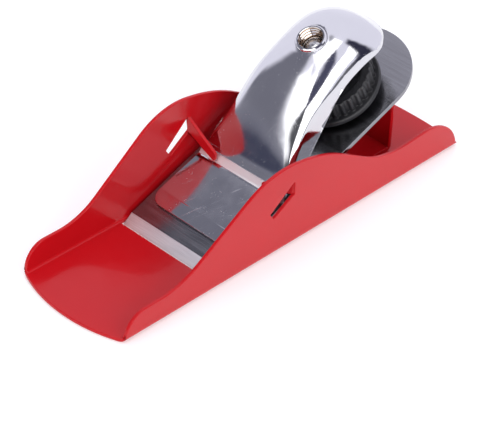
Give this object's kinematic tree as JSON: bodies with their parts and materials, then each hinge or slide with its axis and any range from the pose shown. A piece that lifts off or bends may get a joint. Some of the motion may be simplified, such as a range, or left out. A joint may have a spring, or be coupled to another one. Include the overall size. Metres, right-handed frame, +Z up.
{
  "type": "block plane",
  "caption": "Small pressed-steel block plane with a low-angle bevel-up cutter, side hold-down tabs and a domed chrome lever cap clamped by a fluted thumbwheel.",
  "frame": {"origin": "middle of the sole, on the surface it rests on", "axes": "+X from toe to heel, +Y across, +Z up from the sole"},
  "size_m": [0.16, 0.0478, 0.0577],
  "materials": {
    "red_paint": "glossy red enamel",
    "cutter_steel": "ground, fine lengthwise grain",
    "chrome": "bright chrome plate",
    "brass": "plated rim, bare thread",
    "screw_steel": "zinc plated",
    "black_plastic": "satin moulded"
  },
  "bodies": {
    "plane_body": {"body": "red_paint", "blade_rest": "red_paint"},
    "blade": {"cutter": "cutter_steel"},
    "cap": {"lever_cap": "chrome", "cap_bush": "brass"},
    "stud": {"clamp_stud": "screw_steel"},
    "wheel": {"thumbwheel": "black_plastic"}
  },
  "joints": [
    {"name": "cutter_slide", "type": "slide", "parent": "plane_body", "child": "blade", "axis": [0.9328, 0, 0.3605], "range_m": [-0.001, 0.06]},
    {"name": "cap_rock", "type": "hinge", "parent": "plane_body", "child": "cap", "pos_m": [-0.0057, 0, 0.01542], "axis": [0, 1, 0], "range_deg": [0, 4.6]},
    {"name": "screw_travel", "type": "slide", "parent": "cap", "child": "stud", "axis": [-0.4726, 0, 0.8813], "range_m": [0, 0.00376]},
    {"name": "wheel_spin", "type": "hinge", "parent": "stud", "child": "wheel", "pos_m": [0.03303, 0, 0.0357], "axis": [-0.4726, 0, 0.8813], "range_deg": [0, 1080]}
  ],
  "couplings": [
    {"joint": "screw_travel", "follows": "wheel_spin", "m_per_rad": 0.00019894},
    {"joint": "cap_rock", "follows": "wheel_spin", "ratio": 0.00425}
  ]
}
